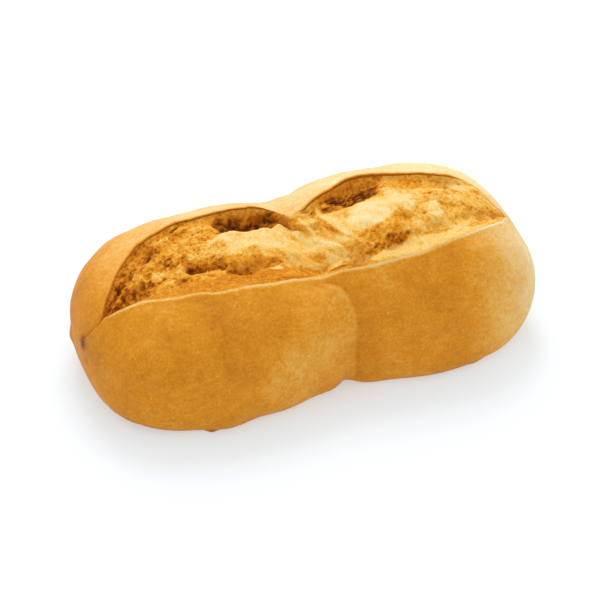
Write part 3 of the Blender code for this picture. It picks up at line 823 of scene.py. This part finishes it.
# %% Pits of the crumb
# Single pits: x, place across, reach along X in mm, reach across in mm, depth.
PITS = (
    (-41.7, 0.955, 2.2, 0.7, 1.4), (-49.2, 0.935, 1.0, 0.7, 0.7), (-57.8, 0.81, 1.5, 0.6, 0.7),
    (-55.8, 0.83, 1.0, 0.6, 0.6), (-58.8, 0.75, 2.0, 0.7, 0.8), (-57.4, 0.64, 1.2, 0.8, 0.6),
    (-69.4, 0.79, 0.9, 1.6, 0.9), (-67.0, 0.69, 0.9, 1.6, 0.9), (-69.0, 0.60, 0.9, 1.8, 0.9),
    (-65.1, 0.52, 0.9, 1.6, 0.8), (-61.0, 0.51, 0.8, 2.4, 0.9), (-72.5, 0.60, 1.0, 2.2, 1.0),
    (-59.1, 0.47, 0.7, 1.6, 0.7), (-63.5, 0.66, 0.7, 1.6, 0.7), (-42.9, 0.62, 0.9, 0.8, 0.8),
    (-39.5, 0.64, 0.8, 0.7, 0.6), (-44.9, 0.53, 0.8, 0.7, 0.6), (-50.6, 0.67, 0.8, 0.7, 0.5),
    (-34.4, 0.80, 0.9, 0.8, 0.7), (-36.3, 0.79, 0.8, 0.7, 0.6), (-38.7, 0.75, 0.8, 0.8, 0.6),
    (-33.8, 0.65, 1.0, 0.8, 0.8), (-29.1, 0.70, 1.4, 1.1, 1.2), (-34.6, 0.43, 1.2, 0.7, 0.8),
    (-48.0, 0.235, 1.6, 0.9, 1.0), (-43.3, 0.40, 1.4, 0.7, 0.9), (-40.0, 0.385, 1.4, 0.6, 0.7),
    (-33.0, 0.30, 1.3, 0.6, 0.7), (-27.5, 0.225, 1.8, 0.5, 0.7), (-23.0, 0.19, 1.6, 0.5, 0.7),
    (-14.6, 0.257, 1.2, 0.6, 0.7), (-12.6, 0.205, 0.8, 0.5, 0.5), (6.4, 0.92, 2.0, 0.8, 0.9),
    (2.4, 0.53, 0.8, 0.5, 0.4), (3.3, 0.47, 1.6, 0.5, 0.4), (1.7, 0.40, 0.8, 0.5, 0.4),
    (17.6, 0.17, 1.6, 0.5, 0.8), (20.5, 0.19, 1.4, 0.5, 0.8), (24.3, 0.20, 1.0, 0.5, 0.6),
    (27.6, 0.23, 1.5, 1.0, 0.9), (30.8, 0.20, 0.8, 0.5, 0.7), (33.9, 0.225, 0.9, 0.9, 0.9),
    (31.8, 0.235, 0.7, 0.5, 0.6), (58.5, 0.885, 1.0, 1.1, 1.3), (54.3, 0.95, 0.7, 0.5, 0.5),
    (56.4, 0.945, 0.6, 0.5, 0.5), (50.5, 0.935, 0.7, 0.5, 0.5), (63.8, 0.93, 0.7, 0.5, 0.5),
    (46.9, 0.83, 0.8, 0.6, 0.6), (54.0, 0.84, 0.6, 0.5, 0.4), (63.8, 0.36, 1.2, 0.8, 0.5),
    (54.0, 0.29, 0.6, 0.6, 0.5), (52.8, 0.22, 0.6, 0.6, 0.5), (43.1, 0.39, 0.8, 0.7, 0.7),
    (40.7, 0.47, 1.6, 0.4, 0.5), (40.4, 0.555, 1.4, 0.4, 0.4), (69.2, 0.14, 0.7, 0.6, 0.7),
    (71.5, 0.30, 0.7, 0.6, 0.7), (70.2, 0.22, 0.6, 0.5, 0.6),
)


def pits(x, place, span, holes):
    """Depth of all pits together: each is a smooth elliptic bowl measured in millimetres."""
    total = 0.0 * place
    for centre_x, centre_place, reach_x, reach_across, deep in holes:
        far = np.hypot((x - centre_x) / reach_x, (place - centre_place) * span / reach_across)
        total = np.maximum(total, deep * ramp(far, 1.25, 0.35))
    return total


# %% Fine relief of the crumb
# The way from the loaf towards the key light. Slopes of the crumb that are turned away from it
# are painted a little browner, so this part of the shade stays when the light is moved.
KEY_WAY = np.array([0.12, 0.57, 0.81])
LEFT_SIDE = (8.0, 2.0)  # over this stretch along X the right hollow gives way to the left one
# The path of one fibre from the front lip to the rear, as (place across, x).
FIBRE = (
    (0.1, 11.0), (0.2, 8.8), (0.3, 6.5), (0.4, 4.2), (0.55, 1.4), (0.7, -0.6), (0.85, -2.2),
    (1.0, -3.4),
)


def fibres(x, place, span, width, length, seed):
    """Noise drawn out along the fibres: short across them, long from front to rear."""
    lean = x - curve(place, FIBRE)
    return noise(np.stack([lean / width, place * span / length, 0.0 * lean], -1), 1.0, seed)


def pocket(x, place, wobble):
    """How far a point is inside a hollow (0 to 1), and its share of the way up the wall.

    A smooth step over the hollow's depth there, as a share of its deepest, times smooth steps
    at its rim and under the lip. The wobble keeps its ends and its lower edge uneven.
    """
    rim = curve(x, RIM_LINE)
    up = (place - rim) / (1.0 - rim)
    left_deepest, right_deepest = (hollow[3] for hollow in HOLLOWS)
    deepest = right_deepest + (left_deepest - right_deepest) * ramp(x, *LEFT_SIDE)
    inside = ramp(bells(x + 4.0 * wobble, HOLLOWS) / deepest, 0.04, 0.35)
    inside = inside * ramp(up + 0.15 * wobble, -0.05, 0.45) * ramp(place, 1.0, 0.985)
    return inside * (1.0 - ramp(past(x, place, EAR_FOLD), -0.3, 0.9) * ramp(x, 7.0, 5.0)), up


def strands_of_hollow(x, place, up):
    """A net of strands on a hollow's wall (-1 to 1), and the toast of that wall.

    The foot of the wall is darkest, as painted shade, the net lies above it, and under the lip it
    is smooth and orange. The net's upper edge comes down towards the right, and the ear's end has
    none.
    """
    leaning = np.stack([(x - 14.0 * up) / 1.4, 20.0 * up, 0.05 * x], -1)
    strands = noise(leaning, 1.0, 55)
    edge = 0.95 - 0.17 * ramp(x, 5.0, 38.0)
    net, foot = ramp(up, edge, edge - 0.06), ramp(up, edge - 0.06, edge - 0.13)
    left = ramp(x, *LEFT_SIDE)
    # The foot of the wall is painted darker, as shade at the bottom of the hollow.
    wall = 0.40 - 0.03 * left + 0.26 * net + (0.20 + 0.10 * left) * foot
    wall = wall + net * (0.13 * ramp(strands, 0.0, -0.5)
                         - (0.22 - 0.08 * left) * ramp(strands, 0.05, 0.5))
    ear_end = ramp(past(x, place, EAR_FOLD), -1.5, -0.3) * ramp(x, 7.0, 5.0)
    return strands, wall + (0.50 - wall) * ear_end


def crumb_fields(points, x, place, span):
    """Relief along the normals in millimetres, toast and roughness of every point.

    Relief is noise, cracks and pores, all stronger where it is rough, plus fibres, most at the
    waist. Toast starts from the patches and is browner in holes, folds and hollows, and on slopes
    turned from the key light. In holes this is partly painted shade. In folds, at the foot of each
    hollow, just under the ear and on those slopes it is painted shade.
    """
    warp = np.stack([noise(points, 3.6, seed) for seed in (41, 42, 43)], -1)
    wobbly = points + 0.9 * warp
    x_warped = x + 1.6 * warp[..., 0] + 1.2 * noise(points, 9.0, 47)
    place_warped = place + 0.030 * warp[..., 1]
    rough = painted(x_warped, place_warped, PATCHES, 5, 0.6)
    toast_and_shading = painted(x_warped, place_warped, PATCHES, 4, 0.36)

    relief = (0.05 + 0.42 * rough) * fractal(wobbly, 4.2, 44, 4)
    cracks = ramp(np.abs(noise(wobbly, 3.6, 48)), 0.14, 0.02)
    cracks = cracks * ramp(noise(points, 8.0, 49), -0.2, 0.4)
    relief -= 0.55 * rough ** 2 * cracks
    near, luck = cells(wobbly, 1.7, 45)
    big_pores = ramp(near, 0.20 + 0.42 * luck, 0.08) * (luck > 0.94 - 0.46 * rough)
    relief -= (0.08 + 0.52 * rough) * big_pores
    near, luck = cells(wobbly, 0.85, 46)
    small_pores = ramp(near, 0.50, 0.10) * (luck > 0.90 - 0.45 * rough)
    relief -= (0.05 + 0.27 * rough) * small_pores

    broad = fibres(x + 0.3 * warp[..., 0], place, span, 1.5, 18.0, 50)
    fine = fibres(x + 0.3 * warp[..., 1], place, span, 0.8, 6.0, 51)
    torn = ramp(place, 0.14, 0.30) * (1.0 - ramp(place, 0.90, 0.98))
    at_waist = bell(x, 2.0, 18.0, 16.0, 1.0)
    relief += torn * ((0.08 + 0.46 * at_waist) * broad + (0.05 + 0.12 * at_waist) * fine)

    inside, up = pocket(x, place, noise(points, 4.0, 58))
    strands, wall = strands_of_hollow(x + 0.5 * warp[..., 0], place, up)
    relief += inside * 0.6 * strands * ramp(up, 0.96, 0.88)

    relief = relief * ramp(place, 0.035, 0.10) * (1.0 - ramp(place, 0.975, 0.995))
    holes = pits(x + 0.5 * warp[..., 0], place + 0.010 * warp[..., 1], span, PITS)
    relief = relief - 0.8 * holes
    beyond = past(x, place, WAIST_FOLD)
    behind = ramp(place, 0.26, 0.50) * ramp(place, 0.98, 0.90)
    relief += 0.5 * behind * ramp(beyond, -0.5, 0.5) * ramp(beyond, 7.0, 0.5)

    # Dents and pits are browner: partly baked colour, partly painted shade in them.
    toast_and_shading += 0.20 * ramp(-relief, 0.15, 0.9) + 0.18 * ramp(holes, 0.2, 1.2)
    facing_light = grid_normals(points) @ KEY_WAY
    toast_and_shading += torn * (0.10 * ramp(facing_light, 0.80, 0.45) - 0.03)
    toast_and_shading = np.minimum(toast_and_shading, 0.72) * (1.0 - inside) + wall * inside
    marbling = 0.15 * rough * noise(points, 5.0, 56) + 0.14 * rough * noise(points, 2.4, 53)
    marbling += (0.08 + 0.16 * rough) * noise(points, 0.9, 54) + 0.05 * noise(points, 8.0, 57)
    toast_and_shading += marbling * np.where(marbling > 0.0, 1.1, 0.6)
    toast_and_shading -= torn * ((0.03 + 0.15 * at_waist) * broad + (0.03 + 0.08 * at_waist) * fine)
    # A darker line along the waist's fold and along the ear's fold: painted shade in the folds.
    toast_and_shading += 0.22 * behind * ramp(np.abs(beyond + 0.4), 1.3, 0.2)
    crease_shade = ramp(place, 0.62, 0.74) * ramp(place, 0.97, 0.90)
    toast_and_shading += 0.18 * crease_shade * ramp(np.abs(past(x, place, EAR_FOLD) + 0.5), 1.2, 0.2)
    # Just under the ear the crumb is painted darker, as the ear's shadow.
    toast_and_shading += 0.10 * ramp(place, 0.91, 0.97) * (1.0 - burst_facts(x)["merged"])
    return relief, toast_and_shading, rough


crumb_along = crumb_x[:, None] + 0.0 * crumb_place
relief, toast_and_shading, rough = crumb_fields(crumb_top, crumb_along, crumb_place, crumb_span)
crumb_visible = crumb_top + grid_normals(crumb_top) * relief[..., None]
pick = np.linspace(CRUMB_COLUMNS - 1, 0, CRUMB_UNDER + 2)[1:-1].astype(int)
crumb_below = crumb_top[:, pick] - crumb_way[:, pick] * CRUMB_THICKNESS
crumb_rings = np.concatenate([crumb_visible, crumb_below], 1)

# %% Mesh of the crumb
def over_rings(field, below):
    """A field of the visible crumb, carried on by one value over its underside."""
    return np.concatenate([field, below + 0.0 * crumb_below[..., 0]], 1)


crumb = closed_rings("crumb", seated(crumb_rings), {
    "toast_and_shading": over_rings(np.clip(toast_and_shading, 0.0, 1.0), 0.8),
    "rough": over_rings(np.clip(rough, 0.0, 1.0), 0.5),
})


# %% [markdown]
# ## Finishes
#
# Baking browns flour by degrees, so both finishes are one ramp from pale to dark that reads
# the toast field of the mesh, plus a little noise in Object coordinates. That field also holds
# painted light and shade: a paler top and right end on the crust, and darker dents, folds and
# feet of hollows in the crumb.

# %% Node helpers
def colour_ramp(tree, source, stops):
    """A ramp node over a source socket, with the given (place, linear colour) stops."""
    ramp_node = tree.nodes.new("ShaderNodeValToRGB")
    elements = ramp_node.color_ramp.elements
    while len(elements) < len(stops):
        elements.new(0.5)
    for element, (place, colour) in zip(elements, stops):
        element.position = place
        element.color = (*colour, 1.0)
    tree.links.new(source, ramp_node.inputs["Fac"])
    return ramp_node.outputs["Color"]


def maths(tree, operation, first, second):
    """One Math node: each input is a socket or a plain number."""
    node = tree.nodes.new("ShaderNodeMath")
    node.operation = operation
    for place, value in enumerate((first, second)):
        if isinstance(value, (int, float)):
            node.inputs[place].default_value = value
        else:
            tree.links.new(value, node.inputs[place])
    return node.outputs[0]


def mottle(tree, vector, size_mm, weight, detail=2.0):
    """Noise blotches of a size, centred on 0 and scaled by a weight."""
    texture = tree.nodes.new("ShaderNodeTexNoise")
    texture.inputs["Scale"].default_value = 1.0 / (size_mm * MM)
    texture.inputs["Detail"].default_value = detail
    tree.links.new(vector, texture.inputs["Vector"])
    return maths(tree, "MULTIPLY", maths(tree, "SUBTRACT", texture.outputs["Fac"], 0.5), weight)


def flecks(tree, vector, spacing_mm, reach, share):
    """Small round spots, 1 inside and 0 outside: only a share of the scattered centres."""
    texture = tree.nodes.new("ShaderNodeTexVoronoi")
    texture.inputs["Scale"].default_value = 1.0 / (spacing_mm * MM)
    tree.links.new(vector, texture.inputs["Vector"])
    parts = tree.nodes.new("ShaderNodeSeparateColor")
    tree.links.new(texture.outputs["Color"], parts.inputs[0])
    chosen = maths(tree, "LESS_THAN", parts.outputs[0], share)
    size = maths(tree, "MULTIPLY", maths(tree, "ADD", parts.outputs[1], 0.5), reach)
    inside = tree.nodes.new("ShaderNodeMapRange")
    inside.interpolation_type = "SMOOTHSTEP"
    tree.links.new(texture.outputs["Distance"], inside.inputs["Value"])
    tree.links.new(size, inside.inputs["From Max"])
    inside.inputs["To Min"].default_value = 1.0
    inside.inputs["To Max"].default_value = 0.0
    return maths(tree, "MULTIPLY", inside.outputs["Result"], chosen)


def bumped(tree, shader, height, distance_mm, strength):
    """Fine relief on the shader's normal, from a height socket."""
    bump = tree.nodes.new("ShaderNodeBump")
    bump.inputs["Strength"].default_value = strength
    bump.inputs["Distance"].default_value = distance_mm * MM
    tree.links.new(height, bump.inputs["Height"])
    tree.links.new(bump.outputs["Normal"], shader.inputs["Normal"])


def plain_finish(name, roughness, specular):
    """A new Principled material, its tree, its shader and its Object coordinates."""
    material = bpy.data.materials.new(name)
    material.use_nodes = True
    tree = material.node_tree
    shader = tree.nodes["Principled BSDF"]
    shader.inputs["Roughness"].default_value = roughness
    shader.inputs["Specular IOR Level"].default_value = specular
    return material, tree, shader, tree.nodes.new("ShaderNodeTexCoord").outputs["Object"]


def field(tree, name):
    """A vertex field of the mesh, as a socket."""
    node = tree.nodes.new("ShaderNodeAttribute")
    node.attribute_name = name
    return node.outputs["Fac"]


# %% Golden crust
CRUST_STOPS = (
    (0.0, (0.86, 0.72, 0.46)), (0.18, (0.77, 0.54, 0.235)), (0.36, (0.72, 0.37, 0.065)),
    (0.5, (0.65, 0.25, 0.010)), (0.75, (0.40, 0.12, 0.003)), (1.0, (0.10, 0.03, 0.002)),
)


def crust_finish():
    """Golden crust: soft mottling, fine grain, pale flour flecks and a faint orange-peel."""
    material, tree, shader, place = plain_finish("golden_crust", 0.55, 0.12)
    toast_and_shading = field(tree, "toast_and_shading")
    for size, weight in ((9.0, 0.16), (2.6, 0.18), (0.9, 0.32)):
        toast_and_shading = maths(tree, "ADD", toast_and_shading, mottle(tree, place, size, weight))
    pale = flecks(tree, place, 2.4, 0.18, 0.50)
    toast_and_shading = maths(tree, "SUBTRACT", toast_and_shading, maths(tree, "MULTIPLY", pale, 0.20))
    dark = flecks(tree, place, 3.7, 0.12, 0.30)
    toast_and_shading = maths(tree, "ADD", toast_and_shading, maths(tree, "MULTIPLY", dark, 0.10))
    tree.links.new(colour_ramp(tree, toast_and_shading, CRUST_STOPS), shader.inputs["Base Color"])
    height = maths(tree, "ADD", mottle(tree, place, 1.4, 1.0), maths(tree, "MULTIPLY", pale, 0.5))
    bumped(tree, shader, height, 0.14, 0.7)
    return material


crust.data.materials.append(crust_finish())

# %% Torn crumb
CRUMB_STOPS = (
    (0.0, (0.79, 0.62, 0.32)), (0.15, (0.77, 0.55, 0.21)), (0.30, (0.74, 0.42, 0.078)),
    (0.45, (0.68, 0.28, 0.018)), (0.62, (0.51, 0.158, 0.008)), (0.8, (0.28, 0.078, 0.006)),
    (1.0, (0.08, 0.020, 0.0015)),
)


def crumb_finish():
    """Torn crumb: grainy mottling, many tiny pores, and a rough matt surface."""
    material, tree, shader, place = plain_finish("torn_crumb", 0.8, 0.05)
    toast_and_shading = field(tree, "toast_and_shading")
    rough = field(tree, "rough")
    for size, weight in ((1.6, 0.22), (0.6, 0.50)):
        toast_and_shading = maths(tree, "ADD", toast_and_shading, mottle(tree, place, size, weight))
    pores = flecks(tree, place, 1.1, 0.22, 0.45)
    depth = maths(tree, "ADD", maths(tree, "MULTIPLY", rough, 0.16), 0.05)
    toast_and_shading = maths(tree, "ADD", toast_and_shading, maths(tree, "MULTIPLY", pores, depth))
    tree.links.new(colour_ramp(tree, toast_and_shading, CRUMB_STOPS), shader.inputs["Base Color"])
    height = maths(tree, "SUBTRACT", mottle(tree, place, 0.7, 1.2), pores)
    bumped(tree, shader, height, 0.25, 0.8)
    return material


crumb.data.materials.append(crumb_finish())

# %% Hang both pieces on the frame
for piece, slot in ((crust, "crust"), (crumb, "crumb")):
    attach(piece, "root")
    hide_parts("double_roll")


# %% [markdown]
# ## Floor, light and camera

# %% Floor
FLOOR_HALF_SIZE = 3.0  # in metres
FLOOR_COLOUR = (0.51, 0.54, 0.56, 1.0)
FLOOR_GLOW = (0.90, 0.965, 1.0, 1.0)  # light of its own, which keeps the floor nearly white
FLOOR_GLOW_STRENGTH = 0.42


def make_floor():
    """A wide pale floor: one square face, matt, with a faint glow."""
    size = FLOOR_HALF_SIZE
    mesh = bpy.data.meshes.new("floor")
    corners = [(-size, -size, 0), (size, -size, 0), (size, size, 0), (-size, size, 0)]
    mesh.from_pydata(corners, [], [(0, 1, 2, 3)])
    material = bpy.data.materials.new("pale_floor")
    material.use_nodes = True
    shader = material.node_tree.nodes["Principled BSDF"]
    shader.inputs["Base Color"].default_value = FLOOR_COLOUR
    shader.inputs["Emission Color"].default_value = FLOOR_GLOW
    shader.inputs["Emission Strength"].default_value = FLOOR_GLOW_STRENGTH
    shader.inputs["Roughness"].default_value = 0.9
    shader.inputs["Specular IOR Level"].default_value = 0.0
    mesh.materials.append(material)
    floor = bpy.data.objects.new("floor", mesh)
    bpy.context.scene.collection.objects.link(floor)
    return floor


floor = make_floor()


# %% Light
def soft_light(name, place, target, size, power):
    """A square area light that faces a target."""
    light = bpy.data.lights.new(name, "AREA")
    light.size = size
    light.energy = power
    lamp = bpy.data.objects.new(name, light)
    bpy.context.scene.collection.objects.link(lamp)
    way = np.array(place) - np.array(target)
    way = way / np.linalg.norm(way)
    lamp.location = place
    lamp.rotation_euler = (math.acos(way[2]), 0.0, math.atan2(way[1], way[0]) + math.pi / 2)
    return lamp


scene = bpy.context.scene
scene.view_settings.view_transform = "Standard"
world = bpy.data.worlds.new("soft_room")
world.use_nodes = True
world.node_tree.nodes["Background"].inputs["Color"].default_value = (1.0, 1.0, 1.0, 1.0)
world.node_tree.nodes["Background"].inputs["Strength"].default_value = 0.98
scene.world = world
soft_light("key", place=(0.12, 0.56, 0.80), target=(0.0, 0.0, 0.02), size=0.5, power=4.4)

# %% Camera
# The photo's angle, found by fitting the outline: degrees for the angles, otherwise mm.
TURN = 20.304
TILT = 35.977
DISTANCE = 686.04
LENS = 112.467
SENSOR_WIDTH = 36.0
LENS_SHIFT = (-0.00757, -0.0300)  # as shares of the sensor's width
AIM = (1.35, 0.99, 22.67)


def make_camera():
    """A long lens that looks down at the front, from a little to the left."""
    data = bpy.data.cameras.new("camera")
    data.lens = LENS
    data.sensor_width = SENSOR_WIDTH
    data.shift_x, data.shift_y = LENS_SHIFT
    data.clip_end = 20.0
    camera = bpy.data.objects.new("camera", data)
    scene.collection.objects.link(camera)
    turn, tilt = math.radians(TURN), math.radians(TILT)
    level = math.cos(tilt)
    back = np.array([-math.sin(turn) * level, -math.cos(turn) * level, math.sin(tilt)])
    camera.location = (np.array(AIM) + DISTANCE * back) * MM
    camera.rotation_euler = (math.pi / 2 - tilt, 0.0, -turn)
    scene.camera = camera


make_camera()
